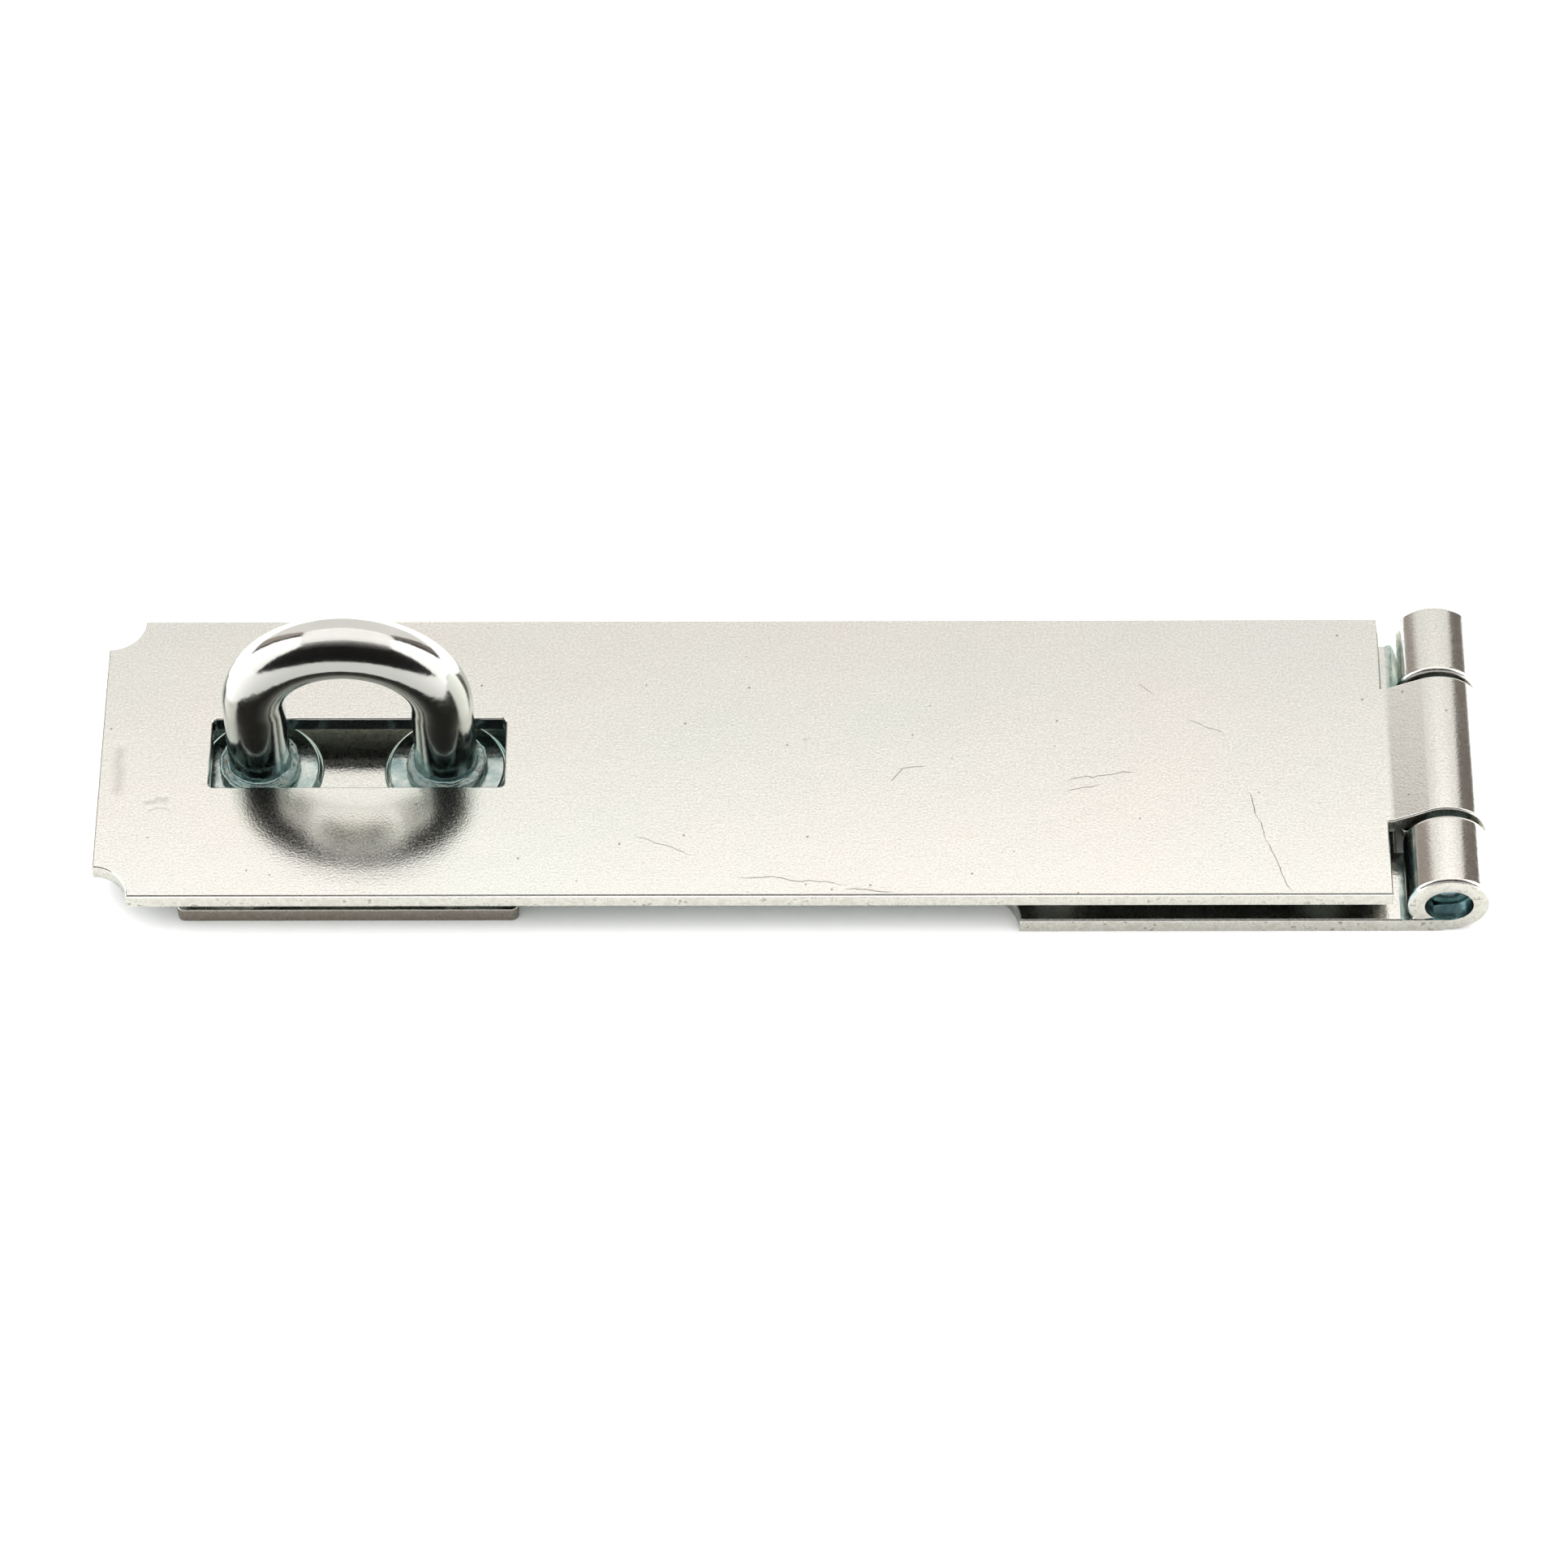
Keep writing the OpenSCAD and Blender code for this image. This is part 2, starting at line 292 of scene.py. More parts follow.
def add_post(name, centre, radius, low, high, along="Z", top_radius=None, sides=96):
    """An upright or cross-wise round post, straight or tapered."""
    deselect_all()
    turn = (math.radians(-90), 0, 0) if along == "Y" else (0, 0, 0)
    middle = Vector(centre)
    index = "XYZ".index(along)
    middle[index] = (low + high) / 2
    bpy.ops.mesh.primitive_cone_add(
        vertices=sides,
        radius1=radius,
        radius2=radius if top_radius is None else top_radius,
        depth=high - low,
        location=middle,
        rotation=turn,
    )
    obj = bpy.context.object
    obj.name = name
    obj.data.name = name
    apply_place(obj)
    return obj


def start_edit(obj, mode="FACE"):
    make_active(obj)
    bpy.ops.object.mode_set(mode="EDIT")
    bpy.ops.mesh.select_mode(type=mode)
    bpy.ops.mesh.select_all(action="DESELECT")


def end_edit():
    bpy.ops.object.mode_set(mode="OBJECT")


def pick(obj, kind, wanted):
    """Selects the faces, edges or verts of the mesh in edit mode that a test says are wanted."""
    bm = bmesh.from_edit_mesh(obj.data)
    parts = getattr(bm, kind)
    for part in parts:
        part.select_set(False)
    chosen = [part for part in parts if wanted(part)]
    for part in chosen:
        part.select_set(True)
    bmesh.update_edit_mesh(obj.data)
    if not chosen:
        raise RuntimeError(f"none of the {kind} of {obj.name} can be selected")


def is_sharp(edge, degrees=50):
    return len(edge.link_faces) == 2 and edge.calc_face_angle(0.0) > math.radians(degrees)


def is_upright(edge):
    a, b = edge.verts
    return abs((a.co - b.co).normalized().z) > FACING


def bevel_edges(obj, wanted, radius, steps):
    start_edit(obj, "EDGE")
    pick(obj, "edges", wanted)
    bpy.ops.mesh.bevel(
        offset=radius, segments=steps, profile=0.5, affect="EDGES", clamp_overlap=True
    )
    end_edit()


def split_at(obj, place, across):
    """Cuts every face of the mesh along a plane, and keeps both sides."""
    start_edit(obj)
    bpy.ops.mesh.select_all(action="SELECT")
    bpy.ops.mesh.bisect(plane_co=place, plane_no=across, threshold=1e-7)
    end_edit()


def apply_modifier(obj, modifier):
    make_active(obj)
    bpy.ops.object.modifier_apply(modifier=modifier.name)


def combine(obj, other, operation):
    """Cuts another shape out of the first or joins it on, and throws the other away."""
    modifier = obj.modifiers.new("Combine", "BOOLEAN")
    modifier.operation = operation
    modifier.solver = "EXACT"
    modifier.object = other
    apply_modifier(obj, modifier)
    bpy.data.objects.remove(other, do_unlink=True)


def cut_away(obj, tool):
    combine(obj, tool, "DIFFERENCE")


def add_on(obj, other):
    combine(obj, other, "UNION")


def clean_skin(obj):
    """Merges doubled points and turns the faces outward."""
    start_edit(obj)
    bpy.ops.mesh.select_all(action="SELECT")
    bpy.ops.mesh.remove_doubles(threshold=0.002 * MM)
    bpy.ops.mesh.normals_make_consistent(inside=False)
    end_edit()


def smooth_skin(obj, degrees=32):
    """Shades the bends smoothly and keeps the flats flat."""
    make_active(obj)
    bpy.ops.object.shade_smooth_by_angle(angle=math.radians(degrees))
    modifier = obj.modifiers.new("Flat faces first", "WEIGHTED_NORMAL")
    modifier.mode = "FACE_AREA"
    modifier.weight = 80
    modifier.keep_sharp = True
    apply_modifier(obj, modifier)


def finish_skin(obj):
    """Breaks the edges that are still sharp and smooths the skin."""
    bevel_edges(obj, is_sharp, bpy.context.scene.hasp_sheet.small_round, 2)
    clean_skin(obj)
    smooth_skin(obj)


def end_face(face, x):
    """Whether a face stands across the sheet's end at this x."""
    return abs(face.normal.x) > 0.99 and abs(face.calc_center_median().x - x) < NEAR


def bend(sizes, centre, turn):
    """Carries the selected end of a sheet round a bend, anticlockwise as seen from the front."""
    steps = max(2, math.ceil(abs(turn) / sizes.arc_step))
    bpy.ops.mesh.spin(steps=steps, angle=turn, center=(centre.x, 0, centre.z), axis=(0, 1, 0))


def run_straight(offset):
    """Carries the selected end of a sheet straight on."""
    bpy.ops.mesh.extrude_region_move(TRANSFORM_OT_translate={"value": offset})


def polar(distance, angle):
    return Vector((distance * math.cos(angle), 0, distance * math.sin(angle)))


def countersunk_holes(obj, xs, ys):
    """Screw holes with a countersink in the top face."""
    thickness = bpy.context.scene.hasp_sheet.thickness
    screw = bpy.context.scene.hasp_screw
    sink = thickness - screw.land + OVER
    for x in xs:
        for y in ys:
            place = (x, y, 0)
            low, high = screw.land, screw.land + sink
            wide = screw.hole + sink
            cut_away(obj, add_post("Drill", place, screw.hole, -OVER, thickness + OVER, sides=48))
            cone = add_post("Countersink", place, screw.hole, low, high, top_radius=wide, sides=48)
            cut_away(obj, cone)


def scoop_corners(obj, x, y_low, y_high, radius, low, high):
    for y in (y_low, y_high):
        cut_away(obj, add_post("Scoop", (x, y, 0), radius, low - OVER, high + OVER))


def seam_turn(outer, inner, gap):
    """How far a knuckle is rolled round its pin before its edge meets its own sheet."""
    return 2 * math.pi - math.acos((inner - gap) / outer)


def finish_piece(obj, node, body, materials, choose=None):
    """Gives a piece its materials, hides the frame's own node and sets it on its body."""
    for material in materials:
        obj.data.materials.append(material)
    if choose:
        for face in obj.data.polygons:
            face.material_index = choose(face)
    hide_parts(node)
    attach(obj, body)
    node_object = frame["nodes"][node]
    if not node_object.material_slots:
        node_object.data.materials.append(materials[0])
    for place in node_object.material_slots:
        place.material = materials[0]


# ---------------------------------------------------------------- materials


def new_material(name):
    material = bpy.data.materials.new(name)
    material.use_nodes = True
    nodes = material.node_tree.nodes
    nodes.clear()
    output = nodes.new("ShaderNodeOutputMaterial")
    shader = nodes.new("ShaderNodeBsdfPrincipled")
    material.node_tree.links.new(shader.outputs["BSDF"], output.inputs["Surface"])
    return material, shader


class Graph:
    """Short hand for making a material and wiring its nodes."""

    def __init__(self, name, metal_roughness=None):
        self.material, self.shader = new_material(name)
        if metal_roughness is not None:
            tint = (*bpy.context.scene.hasp_finish.grazing, 1.0)
            self.shader.inputs["Metallic"].default_value = 1.0
            self.shader.inputs["Roughness"].default_value = metal_roughness
            self.shader.inputs["Specular Tint"].default_value = tint
        self.nodes = self.material.node_tree.nodes
        self.links = self.material.node_tree.links
        self.place = self.nodes.new("ShaderNodeTexCoord")

    def link(self, source, target):
        self.links.new(source, target)

    def surface(self, tint, roughness, normal):
        """Wires the results into the shader and gives the material."""
        self.link(tint, self.shader.inputs["Base Color"])
        if roughness is not None:
            self.link(roughness, self.shader.inputs["Roughness"])
        self.link(normal, self.shader.inputs["Normal"])
        return self.material

    def scaled(self, scale):
        node = self.nodes.new("ShaderNodeMapping")
        node.inputs["Scale"].default_value = scale
        self.link(self.place.outputs["Object"], node.inputs["Vector"])
        return node.outputs["Vector"]

    def position(self):
        """The X, Y and Z of the place being shaded."""
        node = self.nodes.new("ShaderNodeSeparateXYZ")
        self.link(self.place.outputs["Object"], node.inputs["Vector"])
        return node.outputs

    def noise(self, size, detail=3.0, roughness=0.55, stretch=(1, 1, 1), distortion=0.0):
        """Cloudy noise whose lumps are about this size, in metres."""
        node = self.nodes.new("ShaderNodeTexNoise")
        node.inputs["Scale"].default_value = 1.0
        node.inputs["Detail"].default_value = detail
        node.inputs["Roughness"].default_value = roughness
        node.inputs["Distortion"].default_value = distortion
        self.link(self.scaled([s / size for s in stretch]), node.inputs["Vector"])
        return node.outputs["Fac"]

    def range(self, value, low, high, to_low=0.0, to_high=1.0):
        node = self.nodes.new("ShaderNodeMapRange")
        node.inputs["From Min"].default_value = low
        node.inputs["From Max"].default_value = high
        node.inputs["To Min"].default_value = to_low
        node.inputs["To Max"].default_value = to_high
        self.link(value, node.inputs["Value"])
        return node.outputs["Result"]

    def maths(self, operation, first, second=None):
        node = self.nodes.new("ShaderNodeMath")
        node.operation = operation
        for socket, value in zip(node.inputs, (first, second)):
            if value is None:
                continue
            if isinstance(value, (int, float)):
                socket.default_value = value
            else:
                self.link(value, socket)
        return node.outputs["Value"]

    def mix(self, factor, first, second):
        """Mixes two colours; each is a socket or three numbers."""
        node = self.nodes.new("ShaderNodeMix")
        node.data_type = "RGBA"
        if isinstance(factor, (int, float)):
            node.inputs[0].default_value = factor
        else:
            self.link(factor, node.inputs[0])
        for socket, value in ((node.inputs[6], first), (node.inputs[7], second)):
            if isinstance(value, bpy.types.NodeSocket):
                self.link(value, socket)
            else:
                socket.default_value = (*value, 1.0)
        return node.outputs[2]

    def bump(self, height, distance, before=None):
        node = self.nodes.new("ShaderNodeBump")
        node.inputs["Distance"].default_value = distance
        node.inputs["Strength"].default_value = 1.0
        self.link(height, node.inputs["Height"])
        if before is not None:
            self.link(before, node.inputs["Normal"])
        return node.outputs["Normal"]

    def specks(self, spacing, radius):
        """Scattered small dark dots, as a share of their spacing, on about a third of the cells."""
        node = self.nodes.new("ShaderNodeTexVoronoi")
        node.inputs["Scale"].default_value = 1.0 / spacing
        self.link(self.place.outputs["Object"], node.inputs["Vector"])
        dot = self.range(node.outputs["Distance"], radius * 0.5, radius, 0.7, 0.0)
        parts = self.nodes.new("ShaderNodeSeparateColor")
        self.link(node.outputs["Color"], parts.inputs["Color"])
        chosen = self.range(parts.outputs["Red"], 0.68, 0.70)
        return self.maths("MULTIPLY", dot, chosen)

    def scratch(self, start, end, width, wobble=0.0, strength=1.0):
        """A thin line from one place to another, 1 on the line and 0 away from it."""
        middle = (Vector(start) + Vector(end)) / 2
        run = Vector(end) - Vector(start)
        angle = math.atan2(run.y, run.x)
        centred = self.nodes.new("ShaderNodeMapping")
        centred.vector_type = "TEXTURE"
        centred.inputs["Location"].default_value = (middle.x, middle.y, 0)
        centred.inputs["Rotation"].default_value = (0, 0, angle)
        self.link(self.place.outputs["Object"], centred.inputs["Vector"])
        parts = self.nodes.new("ShaderNodeSeparateXYZ")
        self.link(centred.outputs["Vector"], parts.inputs["Vector"])
        side = parts.outputs["Y"]
        if wobble:
            wave = self.range(self.noise(3.5 * MM, 2.0), 0.3, 0.7, -wobble, wobble)
            side = self.maths("ADD", side, wave)
        across = self.range(self.maths("ABSOLUTE", side), 0.0, width, 1.0, 0.0)
        half = run.length / 2
        along = self.range(self.maths("ABSOLUTE", parts.outputs["X"]), half * 0.7, half, 1.0, 0.0)
        line = self.maths("MULTIPLY", across, along)
        return self.maths("MULTIPLY", line, strength)


def plated_sheet(name, marks=()):
    """Zinc on pressed sheet: a fine grain, long rolling lines, cloudy tints and a few scratches."""
    colours = bpy.context.scene.hasp_finish
    g = Graph(name, 0.2)
    cloud = g.noise(26 * MM, 4.0, 0.6)
    tint = g.mix(g.range(cloud, 0.25, 0.75), colours.cool, colours.warm)
    patch = g.noise(9 * MM, 5.0, 0.65)
    tint = g.mix(g.range(patch, 0.40, 0.70, 0.0, 0.55), tint, colours.plating)
    fine = g.noise(0.26 * MM, 2.0, 0.7)
    speckle = g.range(fine, 0.30, 0.70, 0.89, 1.06)
    shade = g.nodes.new("ShaderNodeVectorMath")
    shade.operation = "SCALE"
    g.link(tint, shade.inputs[0])
    g.link(speckle, shade.inputs["Scale"])
    tint = shade.outputs["Vector"]
    pits = g.noise(1.1 * MM, 3.0, 0.75, distortion=0.6)
    pits = g.range(pits, 0.70, 0.80, 0.0, 0.55)
    tint = g.mix(pits, tint, colours.grime_and_shade)
    tint = g.mix(g.specks(2.3 * MM, 0.08), tint, colours.grime_and_shade)
    wear = None
    for mark in marks:
        line = g.scratch(*mark)
        wear = line if wear is None else g.maths("MAXIMUM", wear, line)
    if wear is not None:
        tint = g.mix(g.maths("MULTIPLY", wear, 0.75), tint, colours.grime_and_shade)
    smear = g.noise(7 * MM, 4.0, 0.6, stretch=(0.5, 1, 1))
    rough = g.range(smear, 0.3, 0.7, 0.10, 0.145)
    rough = g.maths("ADD", rough, g.range(fine, 0.3, 0.7, -0.03, 0.05))
    grain = g.bump(fine, 0.012 * MM)
    rolling = g.noise(0.35 * MM, 2.0, 0.5, stretch=(0.03, 1, 1))
    normal = g.bump(rolling, 0.001 * MM, grain)
    waves = g.noise(5 * MM, 2.0, 0.5)
    normal = g.bump(waves, 0.012 * MM, normal)
    if wear is not None:
        normal = g.bump(g.maths("MULTIPLY", wear, -1.0), 0.03 * MM, normal)
    return g.surface(tint, rough, normal)


def sheared_edge(name, painted_shade=0.0):
    """The cut edge of the sheet: upright drag lines and a dull torn band, with a second argument
    that spreads the grime colour over most of the edge as painted shade.
    """
    colours = bpy.context.scene.hasp_finish
    g = Graph(name, 0.3)
    drag = g.noise(0.3 * MM, 3.0, 0.6, stretch=(1, 1, 0.35))
    lumps = g.noise(0.9 * MM, 4.0, 0.65)
    tint = g.mix(g.range(lumps, 0.40, 0.75, 0.0, 0.5), colours.sheared, colours.cool)
    # The second argument is painted shade: above zero, it spreads the grime colour over most of the
    # edge.
    tint = g.mix(g.range(lumps, 0.56, 0.70, painted_shade, 0.8), tint, colours.grime_and_shade)
    rough = g.range(drag, 0.3, 0.7, 0.20, 0.38)
    return g.surface(tint, rough, g.bump(lumps, 0.05 * MM, g.bump(drag, 0.008 * MM)))


def passivated(name, slot=None):
    """Sheet in the recesses, where the blue green film is thickest; its dark colour is also painted
    shade there.
    """
    colours = bpy.context.scene.hasp_finish
    g = Graph(name, 0.16)
    cloud = g.noise(3.5 * MM, 4.0, 0.6)
    film = 1.0 if slot is None else 0.3
    tint = g.mix(g.range(cloud, 0.35, 0.68, film, 0.0), colours.cool, colours.teal)
    pits = g.noise(0.8 * MM, 3.0, 0.7)
    tint = g.mix(g.range(pits, 0.66, 0.8, 0.0, 0.6), tint, colours.grime_and_shade)
    if slot:
        # Painted shade: the colour darkens to the recess colour on the slot's walls and fades out
        # round the slot
        place = g.position()
        low, high = slot
        dark = None
        for axis, near, far in (("X", low[0], high[0]), ("Y", low[1], high[1])):
            off = g.maths("ABSOLUTE", g.maths("SUBTRACT", place[axis], (near + far) / 2))
            half = (far - near) / 2
            share = g.range(off, half + 0.3 * MM, half + 5 * MM, 0.85, 0.0)
            dark = share if dark is None else g.maths("MINIMUM", dark, share)
        tint = g.mix(dark, tint, colours.recess)
    fine = g.noise(0.3 * MM, 3.0, 0.6)
    rough = g.range(fine, 0.3, 0.7, 0.12, 0.24)
    normal = g.bump(g.noise(1.6 * MM, 2.0), 0.03 * MM, g.bump(fine, 0.008 * MM))
    return g.surface(tint, rough, normal)


def bright_bar(name):
    """Zinc on the drawn bar: nearly a mirror, with a slight ripple and fine lines, and painted
    shade on its front and low down by the plate.
    """
    colours = bpy.context.scene.hasp_finish
    g = Graph(name, 0.08)
    cloud = g.noise(6 * MM, 4.0, 0.6)
    tint = g.mix(g.range(cloud, 0.35, 0.7), colours.bright, colours.plating)
    pits = g.noise(0.7 * MM, 3.0, 0.75)
    tint = g.mix(g.range(pits, 0.72, 0.82, 0.0, 0.6), tint, colours.grime_and_shade)
    # Painted shade: its front is darkened to the front shade colour, and its legs low down by the
    # plate are darkened to the blue green film colour
    place = g.position()
    depth = g.range(place["Z"], 5 * MM, 14 * MM, 0.9, 0.0)
    middle = (bow_low.y + bow_high.y) / 2
    facing = g.range(place["Y"], middle - 3.4 * MM, middle - 1.0 * MM, 0.9, 0.0)
    tint = g.mix(facing, tint, colours.painted_front_shade)
    tint = g.mix(depth, tint, colours.teal)
    fine = g.noise(0.3 * MM, 2.0, 0.6)
    rough = g.range(fine, 0.3, 0.7, 0.10, 0.17)
    normal = g.bump(g.noise(2.2 * MM, 2.0), 0.03 * MM, g.bump(fine, 0.0022 * MM))
    return g.surface(tint, rough, normal)


def weld_zinc(name):
    """The collar's rough, lumpy ring of zinc."""
    colours = bpy.context.scene.hasp_finish
    g = Graph(name, 0.2)
    lumps = g.noise(0.8 * MM, 5.0, 0.7)
    tint = g.mix(g.range(lumps, 0.35, 0.8), colours.teal, colours.sheared)
    tint = g.mix(g.range(lumps, 0.58, 0.70, 0.0, 0.85), tint, colours.grime_and_shade)
    return g.surface(tint, g.range(lumps, 0.3, 0.7, 0.12, 0.32), g.bump(lumps, 0.12 * MM))


def pin_steel(name):
    """Turned steel: rings round the pin's ends and a blue tint."""
    colours = bpy.context.scene.hasp_finish
    g = Graph(name, 0.2)
    cloud = g.noise(1.4 * MM, 4.0, 0.6)
    tint = g.mix(g.range(cloud, 0.35, 0.7), colours.pin, colours.teal)
    lines = g.noise(0.2 * MM, 3.0, 0.6, stretch=(1, 0.1, 1))
    return g.surface(tint, g.range(lines, 0.3, 0.7, 0.12, 0.26), g.bump(lines, 0.01 * MM))


def floor_paint(name):
    """Matt white paint with a very faint mottle."""
    colours = bpy.context.scene.hasp_finish
    g = Graph(name)
    g.shader.inputs["Roughness"].default_value = 0.7
    mottle = g.noise(40 * MM, 3.0)
    paler = [min(1.0, c * 1.01) for c in colours.floor]
    tint = g.mix(mottle, colours.floor, paler)
    return g.surface(tint, None, g.bump(g.noise(1.5 * MM, 2.0), 0.01 * MM))


def shared_material(name, maker, *args):
    return bpy.data.materials.get(name) or maker(name, *args)


# ---------------------------------------------------------------- the places of the hinge and bow


def hinge_axis():
    joint = next(j for j in frame["joints"] if j["name"] == "strap_hinge")
    return Vector(joint["pos_m"])


def knuckle_radii():
    """Outer and inner radius of the rolled knuckles."""
    outer = strap_high.x - hinge_axis().x
    return outer, outer - bpy.context.scene.hasp_sheet.thickness


def staple_middle():
    return (plate_low + plate_high) / 2


def leg_places():
    """Where the bow's two legs stand along X."""
    middle = staple_middle().x
    half = bpy.context.scene.hasp_staple.leg_gap / 2
    return middle - half, middle + half


def from_leg(point):
    """How far a point is from the nearer leg's axis."""
    y = staple_middle().y
    return min(math.hypot(point.x - x, point.y - y) for x in leg_places())


def from_pin(point):
    """How far a point is from the pin's axis."""
    axis = hinge_axis()
    return math.hypot(point.x - axis.x, point.z - axis.z)


# ---------------------------------------------------------------- operators


class HASP_OT_strap(bpy.types.Operator):
    """Models the slotted strap with its neck and rolled middle knuckle"""

    bl_idname = "hasp.strap"
    bl_label = "Hasp Strap"

    def execute(self, context):
        scene = context.scene
        sheet = scene.hasp_sheet
        sizes = scene.hasp_strap
        hinge = scene.hasp_hinge
        staple = scene.hasp_staple
        axis = hinge_axis()
        outer, inner = knuckle_radii()
        low = sizes.underside
        top = low + sheet.thickness
        shoulder = axis.x - outer - sizes.shoulder_gap
        half = (strap_high.y - strap_low.y) / 4 - hinge.knuckle_gap / 2
        strap = add_block(
            "hasp_strap_sheet", (strap_low.x, strap_low.y, low), (shoulder, strap_high.y, top)
        )
        for y in (-half, half):
            split_at(strap, (0, y, 0), (0, 1, 0))

        # The neck: up round the bend, along the ramp and back round the pin
        centre = Vector((shoulder, 0, top + sizes.neck_bend))
        bend_r = sizes.neck_bend + sheet.thickness / 2
        roll_r = inner + sheet.thickness / 2
        reach = (centre - axis).length
        slope = math.asin((bend_r + roll_r) / reach)
        slope -= math.atan2(centre.z - axis.z, axis.x - centre.x)
        ramp_start = centre + polar(bend_r, slope - math.pi / 2)
        ramp_end = axis + polar(roll_r, slope + math.pi / 2)

        def neck_end(face):
            return end_face(face, shoulder) and abs(face.calc_center_median().y) < half

        start_edit(strap)
        pick(strap, "faces", neck_end)
        bend(sheet, centre, slope)
        run_straight(ramp_end - ramp_start)
        bend(sheet, axis, -seam_turn(outer, inner, hinge.seam_gap))
        end_edit()
        clean_skin(strap)

        # The scooped corners and the slot
        scoop_corners(strap, strap_low.x, strap_low.y, strap_high.y, sizes.scoop, low, top)
        middle = staple_middle()
        bow_half = (staple.leg_gap + staple.bar) / 2
        bar_half = staple.bar / 2
        slot_low = (
            middle.x - bow_half - sizes.swing_gap,
            middle.y - bar_half - sizes.front_gap,
            low - OVER,
        )
        slot_high = (
            middle.x + bow_half + sizes.near_gap,
            middle.y + bar_half + sizes.back_gap,
            top + OVER,
        )
        punch = add_block("Punch", slot_low, slot_high)
        bevel_edges(punch, is_upright, sizes.slot_corner, 5)
        cut_away(strap, punch)
        clean_skin(strap)

        def on_top(edge):
            """The outline and slot in the flat's top, and the neck's and knuckle's outer edges."""
            a, b = edge.verts
            flat = all(abs(v.co.z - top) < NEAR and v.co.x < shoulder + NEAR for v in (a, b))
            rim = all(abs(abs(v.co.y) - half) < NEAR and v.co.x > shoulder - NEAR for v in (a, b))
            outside = all(v.co.x < axis.x - outer or from_pin(v.co) > outer - NEAR for v in (a, b))
            upper = all(v.co.z > top - NEAR for v in (a, b)) or a.co.x > axis.x - outer
            return is_sharp(edge) and (flat or (rim and outside and upper))

        bevel_edges(strap, on_top, sheet.top_round, sheet.edge_steps)
        finish_skin(strap)

        marks = []
        for x1, y1, x2, y2, width, wobble, *strength in STRAP_MARKS:
            start = (strap_low.x + x1 * MM, y1 * MM)
            end = (strap_low.x + x2 * MM, y2 * MM)
            marks.append((start, end, width * MM, wobble * MM, *strength))
        top_zinc = plated_sheet("Plated strap", marks)
        edge_zinc = shared_material("Sheared edge", sheared_edge)
        # Painted shade: the slot's walls and the strap's underside take the dark film material,
        # which darkens round the slot.
        teal_zinc = shared_material("Shaded underside", passivated, (slot_low, slot_high))

        def choose(face):
            x, y, z = face.center
            normal = face.normal
            upright = abs(normal.z) < BESIDE and abs(normal.y) + abs(normal.x) > FACING
            inside = slot_low[0] - NEAR < x < slot_high[0] + NEAR
            inside = inside and slot_low[1] - NEAR < y < slot_high[1] + NEAR
            if upright and inside:
                return FILM_AND_SHADE
            if upright and (x < shoulder + NEAR or abs(normal.y) > FACING):
                return CUT
            if normal.z < -FACING and z < low + NEAR and x < shoulder:
                return FILM_AND_SHADE
            return FLAT

        finish_piece(
            strap, "hasp_strap", "strap", (top_zinc, edge_zinc, teal_zinc), choose
        )
        return {"FINISHED"}


